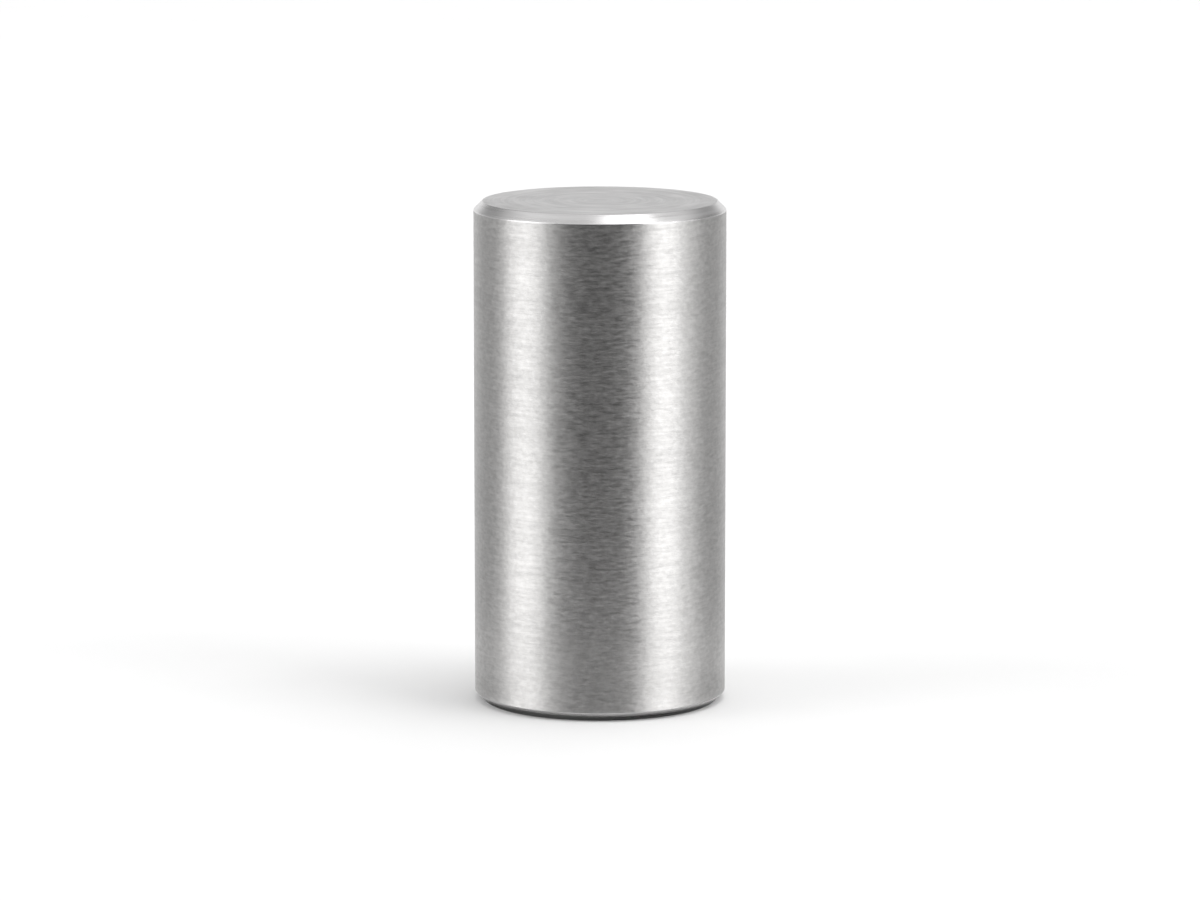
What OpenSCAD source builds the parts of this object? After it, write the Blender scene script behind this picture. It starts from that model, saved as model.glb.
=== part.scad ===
// Dowel pin: one solid bar of steel, ground to diameter, with a chamfer turned on each end.
// The pin stands on end, along Z. The origin is the middle of the end face it stands on.

/* [Shank] */
// Ground diameter
pin_d = 10; // [4:0.5:25]
// Overall length, from end face to end face
pin_l = 20; // [8:1:120]

/* [Ends] */
// Length of each chamfer, measured along the pin
chamfer_l = 0.35; // [0.2:0.05:1]
// Slope of the chamfer, measured from the pin's axis
chamfer_angle = 45; // [15:5:55]
// Radius that deburring leaves on both edges of a chamfer
edge_r = 0.08; // [0.02:0.01:0.1]

/* [Hidden] */

pin_r = pin_d / 2;
chamfer_depth = chamfer_l * tan(chamfer_angle);
face_r = pin_r - chamfer_depth;
half_l = pin_l / 2;

// Steps in each rounded edge, and around the pin
edge_steps = 6;
round_steps = 180;

// Points of an arc from the direction `from` to the direction `to`, in degrees.
function arc(centre, r, from, to) = [
    for (i = [0 : edge_steps])
        let (a = from + (to - from) * i / edge_steps)
            centre + r * [cos(a), sin(a)]
];

// Half of the pin's outline, from the middle of the shank up to the end face.
// The first coordinate is the distance from the axis, and the second is the height.
function half_outline() =
    let (
        // Distance from a sharp corner to where its rounding starts
        shank_tangent = edge_r * tan(chamfer_angle / 2),
        face_tangent = edge_r * tan((90 - chamfer_angle) / 2),
        shank_centre = [pin_r - edge_r, half_l - chamfer_l - shank_tangent],
        face_centre = [face_r - face_tangent, half_l - edge_r]
    )
    concat(
        arc(shank_centre, edge_r, 0, chamfer_angle),
        arc(face_centre, edge_r, chamfer_angle, 90)
    );

// The outline reflected about the middle of the shank, in the reverse order.
function other_half(points) = [
    for (i = [len(points) - 1 : -1 : 0]) [points[i].x, -points[i].y]
];

module half_section() {
    upper = half_outline();
    polygon(concat([[0, -half_l]], other_half(upper), upper, [[0, half_l]]));
}

module dowel_pin() {
    color([0.76, 0.75, 0.74])
        translate([0, 0, half_l])
            rotate_extrude($fn = round_steps)
                half_section();
}

dowel_pin();
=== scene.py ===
# %% [markdown]
# # A dowel pin
# A dowel pin is a short steel bar that holds two parts in line with each other.
# It is cut from bar, faced and chamfered on a lathe, hardened, and then ground to its diameter.
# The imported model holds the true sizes, so it is loaded first and everything is measured from it.

# %% Load the frame
import math

import bpy
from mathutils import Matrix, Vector


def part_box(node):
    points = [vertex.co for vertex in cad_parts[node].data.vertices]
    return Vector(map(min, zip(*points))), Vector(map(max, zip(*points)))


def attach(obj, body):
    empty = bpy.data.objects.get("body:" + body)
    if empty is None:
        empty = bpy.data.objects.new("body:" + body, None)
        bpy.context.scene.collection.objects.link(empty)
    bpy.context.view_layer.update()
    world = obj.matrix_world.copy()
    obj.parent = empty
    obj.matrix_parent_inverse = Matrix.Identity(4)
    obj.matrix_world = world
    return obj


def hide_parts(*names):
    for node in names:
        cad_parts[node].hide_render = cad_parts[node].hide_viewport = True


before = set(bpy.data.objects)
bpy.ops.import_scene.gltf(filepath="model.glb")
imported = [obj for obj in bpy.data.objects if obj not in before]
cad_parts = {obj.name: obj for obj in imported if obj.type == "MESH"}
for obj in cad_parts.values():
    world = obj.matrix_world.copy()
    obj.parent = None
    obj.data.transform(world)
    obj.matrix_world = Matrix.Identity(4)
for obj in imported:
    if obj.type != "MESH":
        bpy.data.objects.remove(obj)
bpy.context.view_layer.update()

# %% Sizes of the pin, in metres
MM = 0.001
pin_low, pin_high = (Vector(corner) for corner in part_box("dowel_pin"))
pin_middle = (pin_low + pin_high) / 2
pin_length = pin_high.z - pin_low.z
pin_radius = (pin_high.x - pin_low.x) / 2
print(f"the pin is {2 * pin_radius / MM:.2f} mm across and {pin_length / MM:.2f} mm long")

# %% [markdown]
# ## The bar
# The pin is a body of revolution. It could be spun from an outline, or cut down from a plain cylinder.
# Cutting it down is the way the lathe goes: a plain bar first, and then one cut on each rim.
# The bar has 256 sides, so that no flat shows on its edge even close up.

# %% Make the bar
around = 256
bpy.ops.object.select_all(action="DESELECT")
bpy.ops.mesh.primitive_cylinder_add(
    vertices=around,
    radius=pin_radius,
    depth=pin_length,
    location=(0, 0, pin_middle.z),
)
pin = bpy.context.active_object
pin.name = "ground_pin"
bpy.ops.object.transform_apply(location=True, rotation=True, scale=True)
print("the bar has", len(pin.data.vertices), "corners")

# %% [markdown]
# ## Picking out rings
# Every cut on a turned part lies at a height and at a distance from the axis.
# So the edges to work on are found by those two sizes, and not by counting them.


# %% Select edges by height and distance from the axis
def select_rings(piece, rings):
    """Selects the edges that lie on any of the rings, each given as (height, radius)."""
    bpy.ops.object.mode_set(mode="OBJECT")
    corners = piece.data.vertices
    near = 0.002 * MM

    def on_ring(corner, ring):
        height, radius = ring
        place = corners[corner].co
        return abs(place.z - height) < near and abs(place.xy.length - radius) < near

    for part in (*piece.data.polygons, *corners):
        part.select = False
    for edge in piece.data.edges:
        edge.select = any(all(on_ring(c, ring) for c in edge.vertices) for ring in rings)
    chosen = sum(edge.select for edge in piece.data.edges)
    bpy.ops.object.mode_set(mode="EDIT")
    return chosen


bpy.ops.object.mode_set(mode="EDIT")
bpy.ops.mesh.select_mode(type="EDGE")
rims = [(pin_low.z, pin_radius), (pin_high.z, pin_radius)]
print("edges on the two rims:", select_rings(pin, rims))

# %% [markdown]
# ## The chamfers
# A chamfer helps the pin to find its hole. The lathe tool cuts it at 45 degrees.
# It could be a second cone, but a bevel of one step cuts it from the bar just as the tool does.
# The pins are tumbled afterwards, which leaves a small radius on both edges of the chamfer.
# That radius is much smaller than the chamfer, but it catches the light as a thin line.

# %% Cut the chamfers
chamfer = 0.35 * MM
bpy.ops.mesh.bevel(offset=chamfer, segments=1, affect="EDGES")
chamfer_edges = [
    (pin_low.z, pin_radius - chamfer),
    (pin_low.z + chamfer, pin_radius),
    (pin_high.z - chamfer, pin_radius),
    (pin_high.z, pin_radius - chamfer),
]
print("edges of the chamfers:", select_rings(pin, chamfer_edges))

# %% Round the edges of the chamfers
edge_radius = 0.08 * MM
chamfer_angle = math.radians(45)
# An edge that turns by an angle starts to round this far from its point.
rounding_start = edge_radius * math.tan(chamfer_angle / 2)
bpy.ops.mesh.bevel(offset=rounding_start, segments=4, profile=0.5, affect="EDGES")
print(f"the rounding starts {rounding_start / MM:.3f} mm from each edge")

# %% [markdown]
# ## The end faces
# The end faces are flat. One face with 256 corners shades badly, and a fan of long triangles does too.
# So the face is inset into rings, and only the last ring is closed with a fan.
# Its middle is where the facing tool stopped.

# %% Inset the end faces
bpy.ops.mesh.select_mode(type="FACE")
bpy.ops.mesh.select_all(action="DESELECT")
bpy.ops.object.mode_set(mode="OBJECT")
for face in pin.data.polygons:
    face.select = len(face.vertices) == around
bpy.ops.object.mode_set(mode="EDIT")
face_radius = pin_radius - chamfer - rounding_start
rings = 6
for ring in range(rings):
    bpy.ops.mesh.inset(thickness=face_radius / (rings + 1))
bpy.ops.mesh.poke()
bpy.ops.mesh.select_all(action="SELECT")
bpy.ops.mesh.remove_doubles(threshold=0.0005 * MM)
bpy.ops.mesh.normals_make_consistent(inside=False)
bpy.ops.object.mode_set(mode="OBJECT")
print("the pin has", len(pin.data.polygons), "faces")

# %% [markdown]
# ## Smooth shading
# A smooth normal is a mean of the faces around a corner. That would make the flats look swollen.
# Edges could be marked sharp instead, but the real ones are rounded, and weighted normals keep that.
# They follow the largest face, so only the small radii bend the light.

# %% Smooth the pin
bpy.ops.object.shade_smooth()
weighted = pin.modifiers.new("flats stay flat", "WEIGHTED_NORMAL")
follow_largest = 100
weighted.weight = follow_largest
bpy.ops.object.modifier_apply(modifier=weighted.name)
print("modifiers left to apply:", len(pin.modifiers))

# %% [markdown]
# ## Building materials
# The whole pin is one steel, but three tools cut it, so it has three finishes.
# Each finish is built from nodes that work out their pattern from a place on the pin.
# One function adds a node and joins it up, so that each recipe below reads from the top down.


# %% Helpers for colours and nodes
def linear(hex_colour):
    """An sRGB hex colour as the linear RGBA that Blender works in."""
    channels = [int(hex_colour[i : i + 2], 16) / 255 for i in (1, 3, 5)]
    return [c / 12.92 if c <= 0.04045 else ((c + 0.055) / 1.055) ** 2.4 for c in channels] + [1.0]


def add_node(tree, kind, settings=None, inputs=None):
    """Adds a node, sets its settings, and fills each input with a value or links it to a socket."""
    node = tree.nodes.new(kind)
    for name, value in (settings or {}).items():
        setattr(node, name, value)
    for name, value in (inputs or {}).items():
        if isinstance(value, bpy.types.NodeSocket):
            tree.links.new(value, node.inputs[name])
        else:
            node.inputs[name].default_value = value
    return node


def new_material(name):
    """An empty material and its node tree."""
    material = bpy.data.materials.new(name)
    material.use_nodes = True
    material.node_tree.nodes.clear()
    return material, material.node_tree


# %% [markdown]
# ## Tool marks
# Lathe and grinding wheel both leave marks that run around the axis.
# They could be modelled as grooves, but there are thousands. Noise in the surface does the same work.
# A mark is long one way and thin the other way, so its noise is drawn out by two real sizes.
# A noise lies almost wholly between 0.25 and 0.75, so that range is spread over colour and roughness.
# Marks also stretch a highlight across themselves, which is why a ground pin shows tall soft bands.
# The radial tangent runs around the axis, and a quarter turn lays that stretch along the pin.


# %% Helpers for steel with marks around its axis
# How much of a noise's strength each finer layer keeps.
fine_share = 0.6
# A full turn of the highlight's stretch counts as 1.
quarter_turn = 0.25


def marks(tree, place, length, spacing, detail=2.0):
    """Noise in marks of a length, in metres, that lie a spacing apart along the third direction."""
    drawn_out = add_node(
        tree,
        "ShaderNodeMapping",
        inputs={"Vector": place, "Scale": (1 / length, 1 / length, 1 / spacing)},
    ).outputs["Vector"]
    return add_node(
        tree,
        "ShaderNodeTexNoise",
        inputs={"Vector": drawn_out, "Scale": 1.0, "Detail": detail, "Roughness": fine_share},
    ).outputs["Fac"]


def mixed(tree, patterns):
    """Adds up (pattern, weight) pairs. A noise has 0.5 as its middle, and so does the result."""
    result = 0.5 - sum(weight for pattern, weight in patterns) / 2
    for pattern, weight in patterns:
        result = add_node(
            tree, "ShaderNodeMath", {"operation": "MULTIPLY_ADD"}, {0: pattern, 1: weight, 2: result}
        ).outputs["Value"]
    return result


def steel(tree, tone, colours, wear, roughness, stretch, relief, depth):
    """Bare steel. Tone goes through two colours, and wear through a low and a high roughness.

    Stretch draws the highlights out. Relief, times a depth in metres, tilts the surface.
    """
    dark, light = colours
    low, high = roughness
    middle_half = {"From Min": 0.25, "From Max": 0.75}
    shade = add_node(tree, "ShaderNodeMapRange", inputs={"Value": tone, **middle_half})
    # Inputs 6 and 7 and output 2 are the ones of a Mix node that carry colour.
    colour = add_node(
        tree,
        "ShaderNodeMix",
        {"data_type": "RGBA"},
        {"Factor": shade.outputs["Result"], 6: linear(dark), 7: linear(light)},
    )
    rough = add_node(
        tree, "ShaderNodeMapRange", inputs={"Value": wear, **middle_half, "To Min": low, "To Max": high}
    )
    tilted = add_node(
        tree, "ShaderNodeBump", inputs={"Height": relief, "Strength": 1.0, "Distance": depth}
    )
    around_axis = add_node(tree, "ShaderNodeTangent", {"direction_type": "RADIAL", "axis": "Z"})
    shader = add_node(
        tree,
        "ShaderNodeBsdfPrincipled",
        inputs={
            "Base Color": colour.outputs[2],
            "Metallic": 1.0,
            "Roughness": rough.outputs["Result"],
            "Anisotropic": stretch,
            "Anisotropic Rotation": quarter_turn,
            "Tangent": around_axis.outputs["Tangent"],
            "Normal": tilted.outputs["Normal"],
        },
    )
    add_node(tree, "ShaderNodeOutputMaterial", inputs={"Surface": shader.outputs["BSDF"]})


# %% [markdown]
# ## Ground steel
# The shank is ground between two wheels. The grit cuts short scratches, 0.01 to 0.05 mm apart.
# Those are too fine to show, so they are drawn 0.11 mm apart, which still reads as a fine grain.
# One noise looks too even, so four are mixed, each for a mark that the wheel really leaves.
# Coarse grit leaves longer scratches here and there, and the wheel's chatter leaves a slow wave.
# To the eye the shank is satin: tall bright bands with soft edges that waver a little.

# %% Scratches, grain and chatter
ground_steel, tree = new_material("Ground steel")
place = add_node(tree, "ShaderNodeTexCoord").outputs["Object"]
scratch_spacing = 0.11 * MM
scratches = marks(tree, place, length=0.45 * MM, spacing=scratch_spacing)
long_scratches = marks(tree, place, length=2.2 * MM, spacing=0.15 * MM)
grain = marks(tree, place, length=0.24 * MM, spacing=0.17 * MM)
chatter = marks(tree, place, length=3.5 * MM, spacing=1.4 * MM, detail=1.0)
print("the shank has", round(pin_length / scratch_spacing), "scratches, one above the other")

# %% [markdown]
# Pins knock against each other in the tumbler and in their box, and each knock leaves a nick.
# A Voronoi cell gives each nick its place, and only the heart of the cell is pressed in.
# The cells are flattened, so a nick is wider than it is tall, as if the scratches had guided it.

# %% Nicks
nick_spacing = 2.6 * MM
nick_radius = 0.12 * MM
heart_radius = nick_radius / 3
flattened = 3
cells = add_node(
    tree,
    "ShaderNodeMapping",
    inputs={"Vector": place, "Scale": (1 / nick_spacing, 1 / nick_spacing, flattened / nick_spacing)},
).outputs["Vector"]
from_heart = add_node(
    tree, "ShaderNodeTexVoronoi", inputs={"Vector": cells, "Scale": 1.0}
).outputs["Distance"]
# A nick is deepest over its heart, where it counts as -1.
nicks = add_node(
    tree,
    "ShaderNodeMapRange",
    inputs={
        "Value": from_heart,
        "From Min": heart_radius / nick_spacing,
        "From Max": nick_radius / nick_spacing,
        "To Min": -1.0,
        "To Max": 0.0,
    },
).outputs["Result"]
print(f"the nicks are up to {2 * nick_radius / MM:.2f} mm wide")

# %% Put the ground steel together
steel(
    tree,
    tone=mixed(tree, [(scratches, 1.0), (grain, 0.64)]),
    colours=("#b6b5b4", "#d2d1d0"),
    # Where the scratches crowd together, the steel is rougher.
    wear=mixed(tree, [(scratches, 1.0), (long_scratches, 0.48), (chatter, 0.16)]),
    roughness=(0.41, 0.62),
    stretch=0.75,
    relief=mixed(
        tree, [(scratches, 1.0), (long_scratches, 0.9), (grain, 1.0), (chatter, 2.6), (nicks, 1.0)]
    ),
    depth=0.0042 * MM,
)
print("ground steel has", len(tree.nodes), "nodes")

# %% [markdown]
# ## Turned steel
# The chamfers are turned, and no wheel touches them afterwards. A sharp tool cuts each in one pass.
# Its lines run around the axis, about 0.09 mm apart, so about four of them cross a chamfer.
# The same marks serve, if their third direction is the distance from the axis and not the height.
# The steel between the lines is smooth, so a chamfer mirrors light more sharply than the shank.
# To the eye it is a thin bright ring, with short steps from light to dark.


# %% Turned steel
def ring_place(tree):
    """A place whose third part is the distance from the axis, so that marks become rings."""
    place = add_node(tree, "ShaderNodeTexCoord").outputs["Object"]
    part = add_node(tree, "ShaderNodeSeparateXYZ", inputs={"Vector": place}).outputs
    flat = add_node(tree, "ShaderNodeCombineXYZ", inputs={"X": part["X"], "Y": part["Y"]})
    radius = add_node(
        tree, "ShaderNodeVectorMath", {"operation": "LENGTH"}, {"Vector": flat.outputs["Vector"]}
    ).outputs["Value"]
    return add_node(
        tree, "ShaderNodeCombineXYZ", inputs={"X": part["X"], "Y": part["Y"], "Z": radius}
    ).outputs["Vector"]


turned_steel, tree = new_material("Turned steel")
tool_lines = marks(tree, ring_place(tree), length=4 * MM, spacing=0.09 * MM)
steel(
    tree,
    tone=tool_lines,
    colours=("#bbbaba", "#cfcece"),
    wear=tool_lines,
    roughness=(0.25, 0.34),
    stretch=0.5,
    relief=tool_lines,
    depth=0.006 * MM,
)
print("turned steel has", len(tree.nodes), "nodes")

# %% [markdown]
# ## Faced steel
# The ends are faced: the tool moves in from the rim to the middle while the bar turns.
# Its rings lie about 0.16 mm apart. Hardening and tumbling then dull them and leave faint patches.
# So one noise is drawn out into rings, and a coarser one over it makes the patches.
# To the eye an end is an even grey with faint rings, duller than the chamfer around it.

# %% Faced steel
faced_steel, tree = new_material("Faced steel")
place = ring_place(tree)
tool_rings = marks(tree, place, length=2.5 * MM, spacing=0.16 * MM)
patches = marks(tree, place, length=1.5 * MM, spacing=0.9 * MM)
steel(
    tree,
    tone=mixed(tree, [(tool_rings, 1.0), (patches, 0.8)]),
    colours=("#bebdbd", "#dddcdc"),
    wear=tool_rings,
    roughness=(0.36, 0.46),
    stretch=0.4,
    relief=mixed(tree, [(tool_rings, 1.0), (patches, 1.0)]),
    depth=0.01 * MM,
)
print("faced steel has", len(tree.nodes), "nodes")

# %% [markdown]
# ## Which tool cut which face
# The faces could be picked by hand, but the way that each one looks already tells which tool cut it.
# A face that looks straight up or down was faced, and one that looks sideways was ground.
# Everything in between belongs to a chamfer or to its rounded edges, and was turned.

# %% Give each face its finish
for finish in (ground_steel, turned_steel, faced_steel):
    pin.data.materials.append(finish)
GROUND, TURNED, FACED = range(3)
straight_up = 0.99
sideways = 0.01
for face in pin.data.polygons:
    rise = abs(face.normal.z)
    face.material_index = FACED if rise > straight_up else TURNED if rise > sideways else GROUND
shares = [sum(face.material_index == finish for face in pin.data.polygons) for finish in range(3)]
print("faces ground, turned and faced:", shares)

# %% Tie the pin to the frame
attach(pin, "root")
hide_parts("dowel_pin")
print(pin.name, "stands in for dowel_pin")

# %% [markdown]
# ## The table
# The pin stands on pale paper that fills the view. Steel mirrors such a table and turns pale too.
# A studio holds that back with black card around the object. Card would show from other sides,
# so here the table does it: most of it is hidden from mirror rays, and from nothing else.
# Two rings near the foot stay. They give the shank its soft glow low down,
# and the lower chamfer its thin light line. The rest of that chamfer looks at the dark under the pin.

# %% Paper
paper, tree = new_material("Pale paper")
place = add_node(tree, "ShaderNodeTexCoord").outputs["Object"]
# Fibres 0.02 mm thick don't show. What shows, just, is how unevenly they settled.
cloud_size = 9 * MM
clouds = marks(tree, place, length=cloud_size, spacing=cloud_size)
shade = add_node(
    tree,
    "ShaderNodeMix",
    {"data_type": "RGBA"},
    {"Factor": clouds, 6: linear("#e0e0e0"), 7: linear("#e4e4e4")},
)
shader = add_node(
    tree, "ShaderNodeBsdfPrincipled", inputs={"Base Color": shade.outputs[2], "Roughness": 0.9}
)
add_node(tree, "ShaderNodeOutputMaterial", inputs={"Surface": shader.outputs["BSDF"]})
print("pale paper has", len(tree.nodes), "nodes")


# %% Table, in rings
def table_ring(name, inner, outer, mirrored):
    """A flat ring of table between two radii. Mirrored says whether shiny things reflect it."""
    bpy.ops.object.select_all(action="DESELECT")
    bpy.ops.mesh.primitive_circle_add(
        vertices=around // 2,
        radius=inner or outer,
        fill_type="NOTHING" if inner else "NGON",
        location=(0, 0, pin_low.z),
    )
    ring = bpy.context.active_object
    ring.name = name
    if inner:
        growth = outer / inner
        bpy.ops.object.mode_set(mode="EDIT")
        bpy.ops.mesh.select_all(action="SELECT")
        bpy.ops.mesh.extrude_edges_move()
        bpy.ops.transform.resize(value=(growth, growth, 1))
        bpy.ops.mesh.select_all(action="SELECT")
        bpy.ops.mesh.normals_make_consistent(inside=False)
        bpy.ops.object.mode_set(mode="OBJECT")
    ring.data.materials.append(paper)
    ring.visible_glossy = mirrored
    print(f"{name} reaches {outer / MM:.1f} mm from the axis")


# The rings go outwards from under the pin. The lower chamfer ends over the first of them.
under_pin = 4.85 * MM
foot_line = 5.6 * MM
glow_inner = 7.5 * MM
glow_outer = 11 * MM
table_edge = 2000 * MM
table_ring("table_under_pin", 0, under_pin, mirrored=False)
table_ring("table_at_foot", under_pin, foot_line, mirrored=True)
table_ring("table_middle", foot_line, glow_inner, mirrored=False)
table_ring("table_near", glow_inner, glow_outer, mirrored=True)
table_ring("table", glow_outer, table_edge, mirrored=False)

# %% [markdown]
# ## The lamps
# A round bar shows its surroundings as upright bands, so each band is one tall panel beside the pin.
# The bands could be painted into the room, but a lamp gives cleaner light and its own soft shadow.
# The panels are far larger than the pin and over a metre away, so their light is even.


# %% Panels
def soft_panel(name, azimuth, elevation, distance, width, height, radiance, mirrored=True):
    """A flat panel of light that faces the middle of the pin. Radiance is what a mirror would show.

    Azimuth is in degrees from the camera's side, towards the right. Lengths are in metres.
    """
    side = math.radians(azimuth)
    up = math.radians(elevation)
    level = math.cos(up)
    towards = Vector((math.sin(side) * level, -math.cos(side) * level, math.sin(up)))
    lamp = bpy.data.lights.new(name, "AREA")
    lamp.shape = "RECTANGLE"
    lamp.size = width
    lamp.size_y = height
    lamp.energy = radiance * math.pi * width * height
    panel = bpy.data.objects.new(name, lamp)
    panel.location = pin_middle + towards * distance
    panel.rotation_euler = towards.to_track_quat("Z", "Y").to_euler()
    panel.visible_glossy = mirrored
    bpy.context.collection.objects.link(panel)
    print(f"{name}: {lamp.energy:.1f} W")


# The two bright bands, and the softer shoulder beside each of them.
beside = {"elevation": 0, "distance": 1.2, "height": 2.8}
soft_panel("right panel", azimuth=61, width=0.77, radiance=2.42, **beside)
soft_panel("right shoulder", azimuth=91, width=0.36, radiance=0.72, **beside)
soft_panel("left panel", azimuth=-74, width=0.9, radiance=1.93, **beside)
soft_panel("left shoulder", azimuth=-39, width=0.46, radiance=0.2, **beside)

# %% [markdown]
# Two more panels hang high over the pin. The large one lights the table and gives the soft shadow.
# In the end face it would show as a white glare, so it is hidden from mirror rays.
# The small one puts the highlight on the front of the upper chamfer, a little to the right.

# %% Panels overhead
soft_panel(
    "table light",
    azimuth=110,
    elevation=77,
    distance=2.0,
    width=1.8,
    height=1.8,
    radiance=1.2,
    mirrored=False,
)
soft_panel(
    "chamfer panel", azimuth=66, elevation=74, distance=2.0, width=1.0, height=0.9, radiance=2.1
)

# %% [markdown]
# ## The room
# The steel mirrors the room wherever there is no panel. A studio could be modelled around the pin,
# but a few levels of grey in Blender's World do the same and render faster.
# The room is dark on the camera's side, and that gives the pin its dark middle band.
# It grows lighter towards the back, which the end face and both edges of the shank mirror.
# The back wall is bright low down and dimmer higher up, and the ceiling above it is white.
# Below the table's height the room is dark, so the lower chamfer shows as a thin dark line.

# %% Walls
world = bpy.data.worlds.new("studio")
bpy.context.scene.world = world
world.use_nodes = True
tree = world.node_tree
tree.nodes.clear()
direction = add_node(tree, "ShaderNodeTexCoord").outputs["Generated"]
part = add_node(tree, "ShaderNodeSeparateXYZ", inputs={"Vector": direction}).outputs
to_back = add_node(
    tree, "ShaderNodeMapRange", inputs={"Value": part["Y"], "From Min": -1.0, "From Max": 1.0}
).outputs["Result"]


def grey(level):
    """A grey of a given radiance."""
    return [level, level, level, 1.0]


def wall(levels):
    """A wall from (place, radiance) pairs, whose places go from 0, the camera's side, to 1, the back."""
    ramp = add_node(tree, "ShaderNodeValToRGB", inputs={"Fac": to_back})
    stops = ramp.color_ramp.elements
    for place, level in levels[1:-1]:
        stops.new(place)
    for stop, (place, level) in zip(stops, levels):
        stop.color = grey(level)
    print("a wall with stops at", [round(stop.position, 2) for stop in stops])
    return ramp.outputs["Color"]


lower_wall = wall(
    [
        (0.0, 0.03),
        (0.05, 0.06),
        (0.12, 0.2),
        (0.35, 0.6),
        (0.55, 0.9),
        (0.7, 0.74),
        (0.84, 0.8),
        (0.95, 1.3),
        (1.0, 1.05),
    ]
)
upper_wall = wall([(0.0, 0.02), (0.12, 0.06), (0.45, 0.42), (1.0, 0.42)])

# %% Upper wall, ceiling and floor, each laid over what is there
# Each layer has the height where it starts, the height where it is full, and its colour.
# A height is the upward part of a direction, so it goes from -1 through 0 at the horizon to 1.
layers = [
    (0.12, 0.4, upper_wall),
    (0.5, 0.75, grey(1.0)),
    (0.02, -0.45, grey(0.06)),
]
room = lower_wall
for start, full, colour in layers:
    share = add_node(
        tree,
        "ShaderNodeMapRange",
        {"interpolation_type": "SMOOTHSTEP"},
        {"Value": part["Z"], "From Min": start, "From Max": full},
    ).outputs["Result"]
    room = add_node(
        tree, "ShaderNodeMix", {"data_type": "RGBA"}, {"Factor": share, 6: room, 7: colour}
    ).outputs[2]
background = add_node(tree, "ShaderNodeBackground", inputs={"Color": room, "Strength": 1.0})
add_node(tree, "ShaderNodeOutputWorld", inputs={"Surface": background.outputs["Background"]})
print("the room has", len(tree.nodes), "nodes")

# %% [markdown]
# ## The camera
# A camera for small parts stands well back with a long lens, so that the sides of a pin stay parallel.
# A shorter lens from nearer by would spread the end face wider and draw the foot narrower.
# The camera looks down by 9.4 degrees, which shows the end face as a thin ellipse.

# %% Camera
camera_distance = 0.228
camera_elevation = math.radians(9.4)
towards = Vector((0, -math.cos(camera_elevation), math.sin(camera_elevation)))
camera_data = bpy.data.cameras.new("camera")
camera_data.sensor_width = 36
camera_data.lens = 172
camera_data.clip_start = 0.01
camera = bpy.data.objects.new("camera", camera_data)
camera.location = pin_middle + towards * camera_distance
camera.rotation_euler = towards.to_track_quat("Z", "Y").to_euler()
bpy.context.collection.objects.link(camera)
bpy.context.scene.camera = camera
bpy.context.scene.view_settings.view_transform = "Standard"
print("the camera stands at", [round(coordinate, 4) for coordinate in camera.location])
